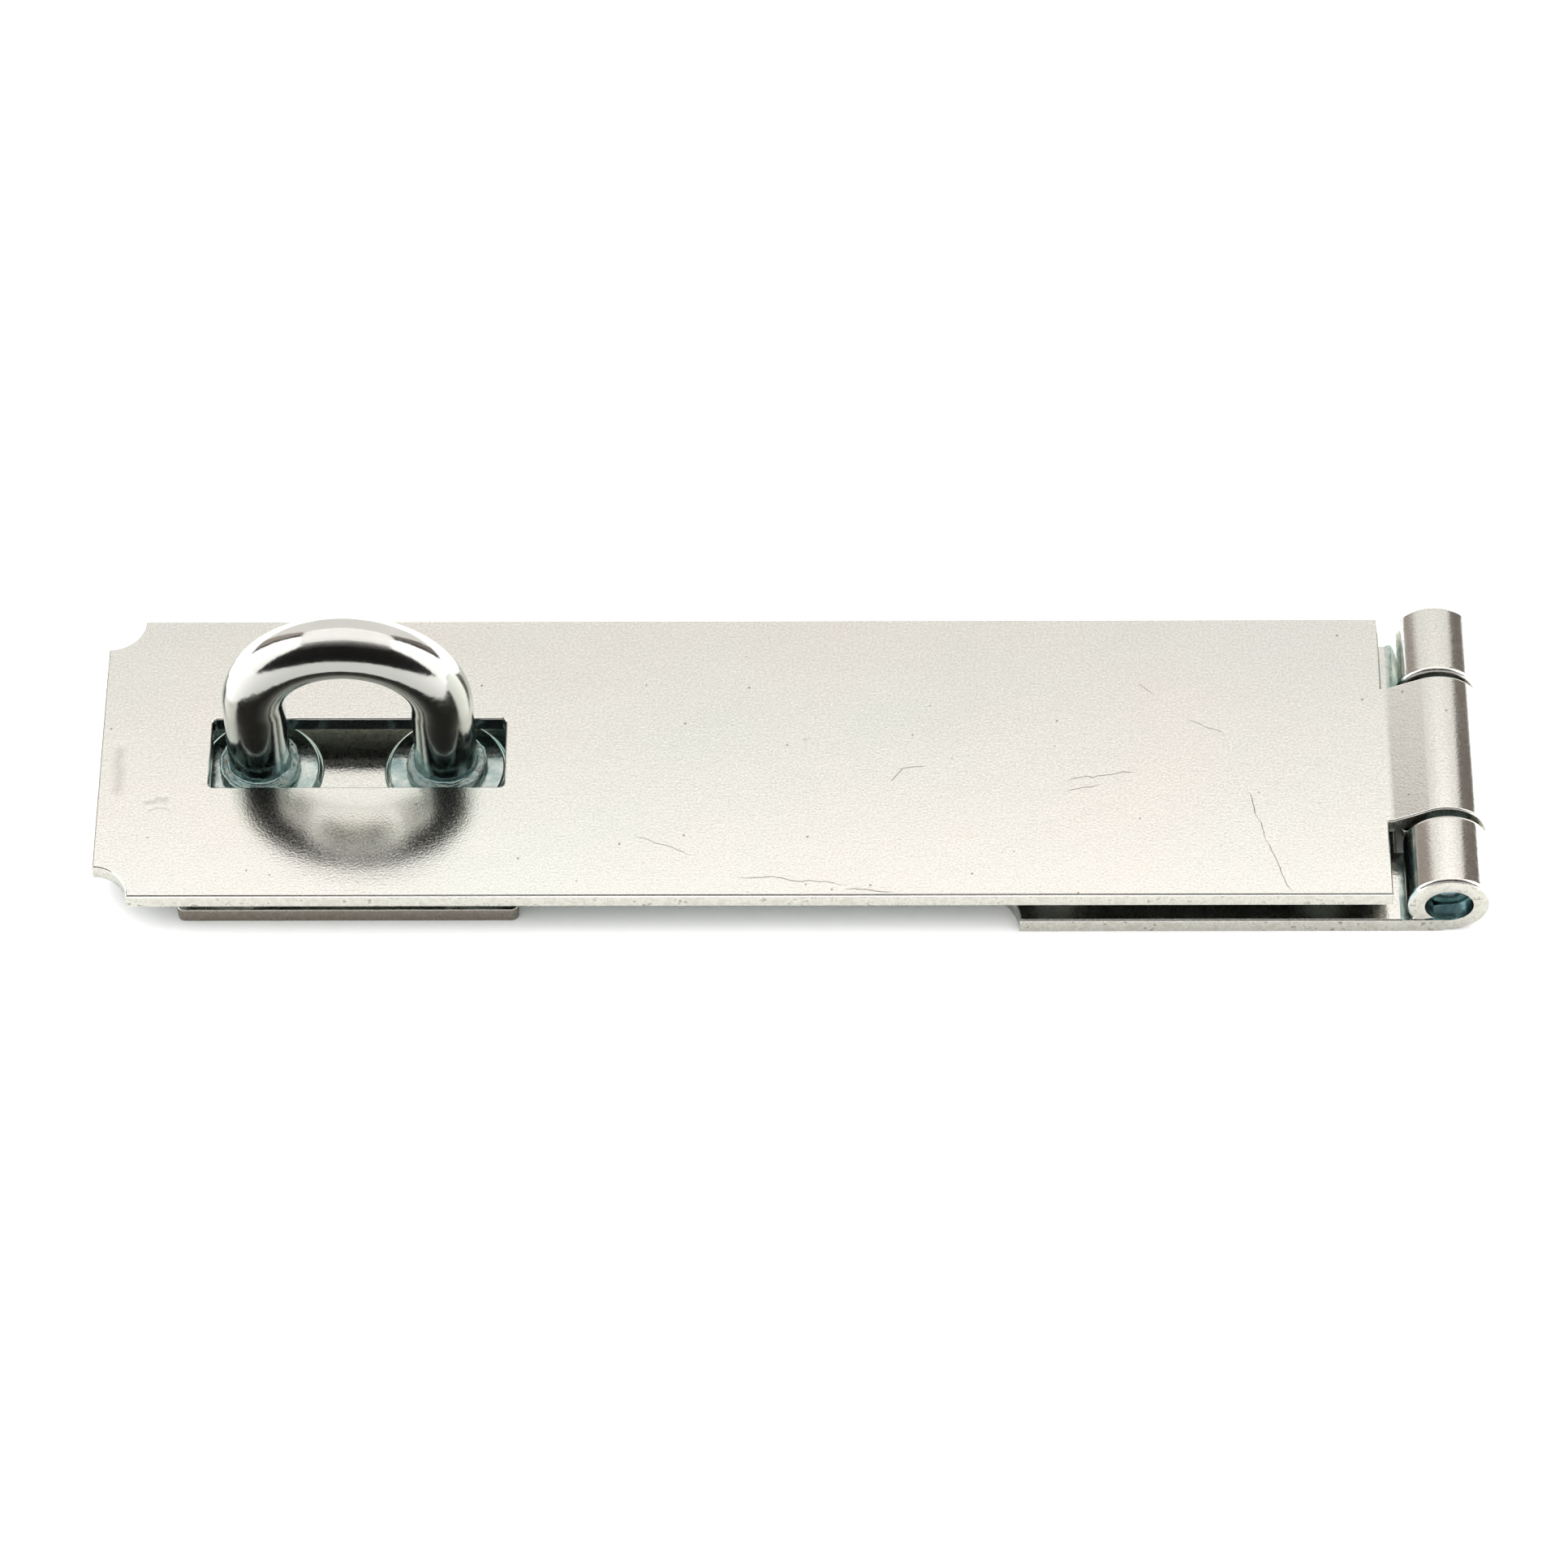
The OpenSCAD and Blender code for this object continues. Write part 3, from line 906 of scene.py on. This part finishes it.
class HASP_OT_leaf(bpy.types.Operator):
    """Models the leaf that is screwed down, with its two rolled outer knuckles"""

    bl_idname = "hasp.leaf"
    bl_label = "Hinge Leaf"

    def execute(self, context):
        scene = context.scene
        sheet = scene.hasp_sheet
        hinge = scene.hasp_hinge
        screw = scene.hasp_screw
        axis = hinge_axis()
        outer = knuckle_radii()[0]
        notch = axis.x - outer - hinge.notch_gap
        start = (leaf_high.y - leaf_low.y) / 4 + hinge.knuckle_gap / 2
        leaf = add_block("hinge_leaf_sheet", leaf_low, (notch, leaf_high.y, sheet.thickness))
        for y in (-start, start):
            split_at(leaf, (0, y, 0), (0, 1, 0))
        start_edit(leaf)
        pick(leaf, "faces", lambda f: end_face(f, notch) and abs(f.calc_center_median().y) > start)
        run_straight((axis.x - notch, 0, 0))
        bend(sheet, axis, hinge.closing + math.pi / 2)
        end_edit()

        # The knuckles' ends are pressed flat where they come down on the leaf
        seam = sheet.thickness + hinge.seam_gap
        start_edit(leaf, "VERT")
        pick(leaf, "verts", lambda v: notch + MM < v.co.x < axis.x - MM / 2 and v.co.z < seam)
        bpy.ops.transform.resize(value=(1, 1, 0), center_override=(axis.x, 0, seam))
        end_edit()
        clean_skin(leaf)
        scoop = hinge.leaf_scoop
        scoop_corners(leaf, leaf_low.x, leaf_low.y, leaf_high.y, scoop, 0, sheet.thickness)
        xs = (leaf_low.x + screw.leaf_end, notch - screw.leaf_hinge)
        ys = (leaf_low.y + screw.leaf_side, leaf_high.y - screw.leaf_side)
        countersunk_holes(leaf, xs, ys)
        clean_skin(leaf)

        def in_scoop(point):
            corners = [Vector((leaf_low.x, y)) for y in (leaf_low.y, leaf_high.y)]
            return min((point.xy - corner).length for corner in corners) < scoop + NEAR

        def at_outline(point):
            return (
                point.x < leaf_low.x + NEAR
                or point.x > notch - NEAR
                or abs(point.y) > leaf_high.y - NEAR
                or in_scoop(point)
            )

        def outline(edge):
            """The punched outline of the leaf's top face."""
            return is_sharp(edge) and all(
                abs(v.co.z - sheet.thickness) < NEAR
                and v.co.x < axis.x - outer
                and at_outline(v.co)
                for v in edge.verts
            )

        def knuckle_end(edge):
            """The round outer edges at the knuckles' ends."""
            a, b = edge.verts
            return is_sharp(edge) and abs(a.co.y - b.co.y) < NEAR and all(
                from_pin(v.co) > outer - NEAR and v.co.x > axis.x - outer - NEAR for v in (a, b)
            )

        bevel_edges(leaf, knuckle_end, hinge.end_round, sheet.edge_steps + 2)
        bevel_edges(leaf, outline, sheet.top_round, sheet.edge_steps)
        finish_skin(leaf)

        zinc = shared_material("Plated leaf", plated_sheet)
        edge_zinc = shared_material("Sheared edge", sheared_edge)
        teal_zinc = shared_material("Passivated recess", passivated)

        def choose(face):
            x, z = face.center.x, face.center.z
            flat = x < notch + NEAR
            if abs(face.normal.y) > FACING or flat and abs(face.normal.z) < BESIDE:
                return CUT
            if flat:
                return FLAT
            # Painted shade: the knuckles' insides, their lower sides towards the leaf and the flats
            # by the seam take the dark film material.
            inside = from_pin(face.center) < outer - 0.5 * sheet.thickness
            beside = x < axis.x - 0.78 * outer or face.normal.z > FACING and z < seam
            return FILM_AND_SHADE if inside or beside else FLAT

        finish_piece(leaf, "hinge_leaf", "leaf", (zinc, edge_zinc, teal_zinc), choose)
        return {"FINISHED"}


class HASP_OT_pin(bpy.types.Operator):
    """Models the hinge pin with its domed ends"""

    bl_idname = "hasp.pin"
    bl_label = "Hinge Pin"

    def execute(self, context):
        scene = context.scene
        hinge = scene.hasp_hinge
        axis = hinge_axis()
        # A hair thinner than the solid
        radius = (pin_high.x - pin_low.x) / 2 - 0.01 * MM
        dome = hinge.pin_dome
        low = pin_low.y + dome
        high = pin_high.y - dome
        pin = add_post("hinge_pin_steel", axis, radius, low, high, along="Y", sides=64)
        # Each end rises in rings, whose radii are these shares of the pin's
        shares = (1.0, 0.93, 0.78, 0.55, 0.28)
        for end, side in ((low, -1), (high, 1)):

            def is_end(face):
                return face.normal.y * side > 0.99 and abs(face.calc_center_median().y - end) < NEAR

            start_edit(pin)
            pick(pin, "faces", is_end)
            risen = 0
            for before, share in zip(shares, shares[1:]):
                rise = dome * (1 - share**2) - risen
                risen += rise
                bpy.ops.mesh.inset(thickness=radius * (before - share), depth=0)
                bpy.ops.transform.translate(value=(0, side * rise, 0))
            end_edit()
        clean_skin(pin)
        bevel_edges(pin, is_sharp, 0.2 * MM, 3)
        smooth_skin(pin, 50)
        steel = shared_material("Pin steel", pin_steel)
        finish_piece(pin, "hinge_pin", "leaf", (steel,))
        return {"FINISHED"}


class HASP_OT_staple_plate(bpy.types.Operator):
    """Models the staple's plate with its pressed bosses and screw holes"""

    bl_idname = "hasp.staple_plate"
    bl_label = "Staple Plate"

    def execute(self, context):
        scene = context.scene
        sheet = scene.hasp_sheet
        sizes = scene.hasp_staple
        screw = scene.hasp_screw
        middle = staple_middle()
        high = (plate_high.x, plate_high.y, sheet.thickness)
        plate = add_block("staple_plate_sheet", plate_low, high)
        bevel_edges(plate, is_upright, sizes.corner, 6)
        rise = sizes.boss_top - sheet.thickness
        slant = (sizes.boss_foot - sizes.boss_crown) / rise
        foot = sizes.boss_foot + slant * OVER
        crown = sizes.boss_crown
        wall = sizes.boss_wall
        places = [(x, middle.y, 0) for x in leg_places()]
        for place in places:
            low = sheet.thickness - OVER
            add_on(plate, add_post("Boss", place, foot, low, sizes.boss_top, top_radius=crown))
        for place in places:
            wide = sizes.boss_foot - wall
            cut_away(plate, add_post("Recess", place, wide, -OVER, rise, top_radius=crown - wall))
            cut_away(plate, add_post("Tenon hole", place, sizes.tenon, 0, sizes.boss_top + OVER))
        edge = screw.plate_edge
        xs = (plate_low.x + edge, plate_high.x - edge)
        ys = (plate_low.y + edge, plate_high.y - edge)
        countersunk_holes(plate, xs, ys)
        clean_skin(plate)

        def round_leg(e, height, radius, near):
            """Whether an edge is part of a ring of this height and radius round a leg."""
            return all(
                abs(v.co.z - height) < NEAR and abs(from_leg(v.co) - radius) < near for v in e.verts
            )

        def boss_rim(e):
            return round_leg(e, sizes.boss_top, sizes.boss_crown, NEAR)

        def boss_foot_edge(e):
            return is_sharp(e, 40) and round_leg(e, sheet.thickness, sizes.boss_foot, 2 * NEAR)

        def from_edge(point):
            across = (point.x - plate_low.x, point.x - plate_high.x)
            along = (point.y - plate_low.y, point.y - plate_high.y)
            return min(abs(distance) for distance in across + along)

        def outline(e):
            return is_sharp(e) and all(
                abs(v.co.z - sheet.thickness) < NEAR
                and from_leg(v.co) > sizes.boss_foot + 5 * NEAR
                and from_edge(v.co) < sizes.corner
                for v in e.verts
            )

        bevel_edges(plate, boss_rim, 0.3 * MM, 4)
        bevel_edges(plate, boss_foot_edge, 0.25 * MM, 4)
        bevel_edges(plate, outline, sheet.top_round, sheet.edge_steps)
        finish_skin(plate)

        zinc = shared_material("Plated leaf", plated_sheet)
        # Painted shade: the plate's cut edges, which lie under the strap's overhang, are mostly
        # laid in the grime colour.
        edge_zinc = shared_material("Shaded edge", sheared_edge, 0.8)
        teal_zinc = shared_material("Passivated recess", passivated)

        def choose(face):
            if from_leg(face.center) < sizes.boss_foot + 0.1 * MM:
                return FILM_AND_SHADE
            return CUT if abs(face.normal.z) < BESIDE else FLAT

        finish_piece(
            plate, "staple_plate", "staple", (zinc, edge_zinc, teal_zinc), choose
        )
        return {"FINISHED"}


class HASP_OT_bow(bpy.types.Operator):
    """Models the staple's bow with its collars and peened heads"""

    bl_idname = "hasp.bow"
    bl_label = "Staple Bow"

    def execute(self, context):
        sizes = context.scene.hasp_staple
        sheet = context.scene.hasp_sheet
        middle = staple_middle()
        leg_x = leg_places()[1]
        bar = sizes.bar / 2
        crown_z = bow_high.z - bar - sizes.leg_gap / 2
        recess_top = sizes.boss_top - sheet.thickness

        deselect_all()
        radius = sizes.peen - 0.35 * MM
        bpy.ops.mesh.primitive_circle_add(
            vertices=64,
            radius=radius,
            fill_type="NGON",
            location=(leg_x, middle.y, sizes.peen_foot),
        )
        bow = bpy.context.object
        bow.name = "staple_bow_bar"
        bow.data.name = "staple_bow_bar"
        apply_place(bow)
        start_edit(bow)
        bpy.ops.mesh.select_all(action="SELECT")

        # Radius and height of each ring: the peened head, the tenon, the collar and the bar
        z = sizes.peen_foot
        collar_low = sizes.boss_top
        top = sizes.collar_top
        profile = (
            (sizes.peen - 0.1 * MM, z + 0.12 * MM),
            (sizes.peen, z + 0.32 * MM),
            (sizes.peen, recess_top - 0.08 * MM),
            (sizes.peen - 0.12 * MM, recess_top),
            (sizes.tenon, recess_top + 0.001 * MM),
            (sizes.tenon, collar_low),
            (sizes.collar - 0.10 * MM, collar_low + 0.001 * MM),
            (sizes.collar, collar_low + 0.12 * MM),
            (sizes.collar, collar_low + 0.5 * MM),
            (sizes.collar - 0.02 * MM, top - 0.55 * MM),
            (sizes.collar - 0.10 * MM, top - 0.3 * MM),
            (sizes.collar - 0.26 * MM, top - 0.12 * MM),
            (sizes.collar - 0.48 * MM, top - 0.02 * MM),
            (sizes.collar - 0.70 * MM, top),
            (bar + 0.22 * MM, top + 0.03 * MM),
            (bar + 0.08 * MM, top + 0.12 * MM),
            (bar + 0.01 * MM, top + 0.32 * MM),
            (bar, top + 0.6 * MM),
            (bar, crown_z - 3 * MM),
            (bar, crown_z),
        )
        for wanted, height in profile:
            run_straight((0, 0, height - z))
            share = wanted / radius
            bpy.ops.transform.resize(value=(share, share, 1), center_override=(leg_x, middle.y, 0))
            radius, z = wanted, height
        bpy.ops.mesh.spin(
            steps=32, angle=-math.pi / 2, center=(middle.x, middle.y, crown_z), axis=(0, -1, 0)
        )
        end_edit()

        def at_crown(face):
            return face.calc_center_median().x < middle.x + NEAR and abs(face.normal.x) > FACING

        start_edit(bow)
        pick(bow, "faces", at_crown)
        bpy.ops.mesh.delete(type="ONLY_FACE")
        end_edit()

        # The other leg is the first one's mirror image
        deselect_all()
        bpy.ops.object.empty_add(location=(middle.x, middle.y, 0))
        mirror_place = bpy.context.object
        modifier = bow.modifiers.new("Other leg", "MIRROR")
        modifier.use_axis = (True, False, False)
        modifier.mirror_object = mirror_place
        modifier.use_mirror_merge = True
        modifier.merge_threshold = NEAR
        apply_modifier(bow, modifier)
        bpy.data.objects.remove(mirror_place, do_unlink=True)
        clean_skin(bow)

        # A lumpy bead of zinc round each collar
        def on_collar(face):
            place = face.calc_center_median()
            between = collar_low + 0.05 * MM < place.z < top + 0.02 * MM
            return between and from_leg(place) > bar + 0.05 * MM

        start_edit(bow)
        pick(bow, "faces", on_collar)
        bpy.ops.mesh.subdivide(number_cuts=1)
        group = bow.vertex_groups.new(name="Bead")
        bpy.ops.object.vertex_group_assign()
        end_edit()
        lumps = bpy.data.textures.new("Bead lumps", "CLOUDS")
        lumps.noise_scale = 1.3 * MM
        lumps.noise_depth = 2
        modifier = bow.modifiers.new("Bead", "DISPLACE")
        modifier.texture = lumps
        modifier.texture_coords = "LOCAL"
        modifier.vertex_group = group.name
        modifier.strength = 0.42 * MM
        modifier.mid_level = 0.62
        apply_modifier(bow, modifier)
        clean_skin(bow)
        smooth_skin(bow, 60)

        bright = shared_material("Bright bar", bright_bar)
        weld = shared_material("Weld zinc", weld_zinc)

        def choose(face):
            return 1 if face.center.z < top + 0.1 * MM else 0

        finish_piece(bow, "staple_bow", "staple", (bright, weld), choose)
        return {"FINISHED"}


def panel_light(name, place, back, width, height, radiance, tint):
    """A flat studio panel of this radiance, with its back turned this way."""
    deselect_all()
    bpy.ops.object.light_add(type="AREA", location=place)
    light = bpy.context.object
    light.name = name
    light.data.name = name
    light.data.shape = "RECTANGLE"
    light.data.size = width
    light.data.size_y = height
    light.data.energy = radiance * math.pi * width * height
    light.data.color = tint
    light.visible_camera = False
    light.rotation_euler = Vector(back).to_track_quat("Z", "Y").to_euler()
    return light


def light_only(light, objects):
    """Keeps a panel's light to the given objects."""
    group = bpy.data.collections.new(f"Lit by {light.name}")
    for obj in objects:
        group.objects.link(obj)
    light.light_linking.receiver_collection = group


class HASP_OT_studio(bpy.types.Operator):
    """Sets up the floor, the soft lights and the camera"""

    bl_idname = "hasp.studio"
    bl_label = "Studio"

    def execute(self, context):
        scene = context.scene
        studio = scene.hasp_studio
        middle = (cad_low + cad_high) / 2

        deselect_all()
        bpy.ops.mesh.primitive_circle_add(
            vertices=96, radius=2.2, fill_type="NGON", location=(0, 0, -0.05 * MM)
        )
        floor = bpy.context.object
        floor.name = "Floor"
        apply_place(floor)
        floor.data.materials.append(floor_paint("Floor paint"))
        floor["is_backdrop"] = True

        # Panels stand round the hasp like the walls of a light tent with a dark front. As seen from
        # the hasp, the side panels end 38 degrees from straight up, and the back and front ones 56
        # and 38 degrees above the floor.
        white = (1, 0.985, 0.955)
        warm = (1, 0.98, 0.94)
        brown = (1, 0.88, 0.78)
        ceiling_height = 0.8
        ceiling_width = 1.25
        reach = 0.9
        wall = 1.2
        side_top = reach / math.tan(math.radians(38))
        back_top = wall * math.tan(math.radians(56))
        front_top = wall * math.tan(math.radians(38))
        place = (0, 0.19, ceiling_height)
        panel_light("Ceiling panel", place, UP, ceiling_width, 0.72, studio.ceiling, white)
        for side, name in ((-1, "Left panel"), (1, "Right panel")):
            place = (side * reach, 0, side_top / 2)
            panel_light(name, place, (side, 0, 0), 0.85, side_top, studio.sides, (1, 0.995, 0.98))
        half = 1.2
        place = (0, wall, back_top / 2)
        panel_light("Back panel", place, (0, 1, 0), 2 * half, back_top, studio.back, warm)
        # The back panel has a dimmer wing at each end, and the left one is the brighter of the two
        wing = 0.7
        for side, share, name in ((-1, 1.2, "Left wing"), (1, 0.6, "Right wing")):
            place = (side * (half + wing / 2), wall, back_top / 2)
            panel_light(name, place, (0, 1, 0), wing, back_top, studio.wings * share, brown)
        # The ceiling ends in three strips, each dimmer than the last
        first, strip = 12, 7
        for number, share in enumerate((0.4, 0.15, 0.05)):
            near = ceiling_height * math.tan(math.radians(first + strip * number))
            far = ceiling_height * math.tan(math.radians(first + strip * (number + 1)))
            place = (0, -(near + far) / 2, ceiling_height)
            name = f"Ceiling strip {number + 1}"
            panel_light(name, place, UP, ceiling_width, far - near, studio.ceiling * share, warm)
        place = (0, -wall, front_top / 2)
        tint = (1, 0.99, 0.97)
        front = panel_light("Front panel", place, (0, -1, 0), 3.2, front_top, studio.front, tint)
        # The bow is left out of its light, because its front reflects a dark room in the photo
        light_only(front, [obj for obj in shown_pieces() if obj.name != "staple_bow_bar"])
        lamp = panel_light("Floor light", (0, 0, 1.6), UP, 3.0, 3.0, studio.floor, (1, 1, 1))
        light_only(lamp, [floor])

        world = bpy.data.worlds.new("Studio walls")
        world.use_nodes = True
        walls = world.node_tree.nodes["Background"]
        walls.inputs["Color"].default_value = (1.0, 0.96, 0.97, 1.0)
        walls.inputs["Strength"].default_value = 0.02
        scene.world = world

        a = studio.azimuth
        e = studio.elevation
        back = Vector((math.sin(a) * math.cos(e), -math.cos(a) * math.cos(e), math.sin(e)))
        # The photo's middle is a little off the hasp's
        aim = middle + Vector((-0.8 * MM, -3.1 * MM, -9.4 * MM))
        turn = back.to_track_quat("Z", "Y") @ Quaternion((0, 0, 1), studio.roll)
        deselect_all()
        bpy.ops.object.camera_add(location=aim + back * studio.distance)
        camera = bpy.context.object
        camera.rotation_mode = "QUATERNION"
        camera.rotation_quaternion = turn
        camera.data.lens = studio.lens
        camera.data.sensor_width = 36.0
        camera.data.clip_start = 0.01
        camera.data.clip_end = 10.0
        scene.camera = camera
        scene.view_settings.view_transform = "Standard"
        return {"FINISHED"}


class HASP_PT_panel(bpy.types.Panel):
    """Lists the hasp's pieces and the studio"""

    bl_idname = "HASP_PT_panel"
    bl_label = "Hasp and Staple"
    bl_space_type = "VIEW_3D"
    bl_region_type = "UI"
    bl_category = "Hasp"

    def draw(self, context):
        column = self.layout.column()
        for operator in OPERATORS:
            column.operator(operator.bl_idname)


GROUPS = {
    "hasp_sheet": SheetSizes,
    "hasp_strap": StrapSizes,
    "hasp_hinge": HingeSizes,
    "hasp_staple": StapleSizes,
    "hasp_screw": ScrewSizes,
    "hasp_finish": FinishColours,
    "hasp_studio": StudioSettings,
}
OPERATORS = (
    HASP_OT_strap,
    HASP_OT_leaf,
    HASP_OT_pin,
    HASP_OT_staple_plate,
    HASP_OT_bow,
    HASP_OT_studio,
)


def register():
    for name, group in GROUPS.items():
        bpy.utils.register_class(group)
        setattr(bpy.types.Scene, name, PointerProperty(type=group))
    for operator in OPERATORS:
        bpy.utils.register_class(operator)
    bpy.utils.register_class(HASP_PT_panel)


def unregister():
    bpy.utils.unregister_class(HASP_PT_panel)
    for operator in reversed(OPERATORS):
        bpy.utils.unregister_class(operator)
    for name, group in GROUPS.items():
        delattr(bpy.types.Scene, name)
        bpy.utils.unregister_class(group)


def main():
    register()
    bpy.ops.hasp.strap()
    bpy.ops.hasp.leaf()
    bpy.ops.hasp.pin()
    bpy.ops.hasp.staple_plate()
    bpy.ops.hasp.bow()
    bpy.ops.hasp.studio()
    bpy.context.view_layer.update()


if __name__ == "__main__":
    main()
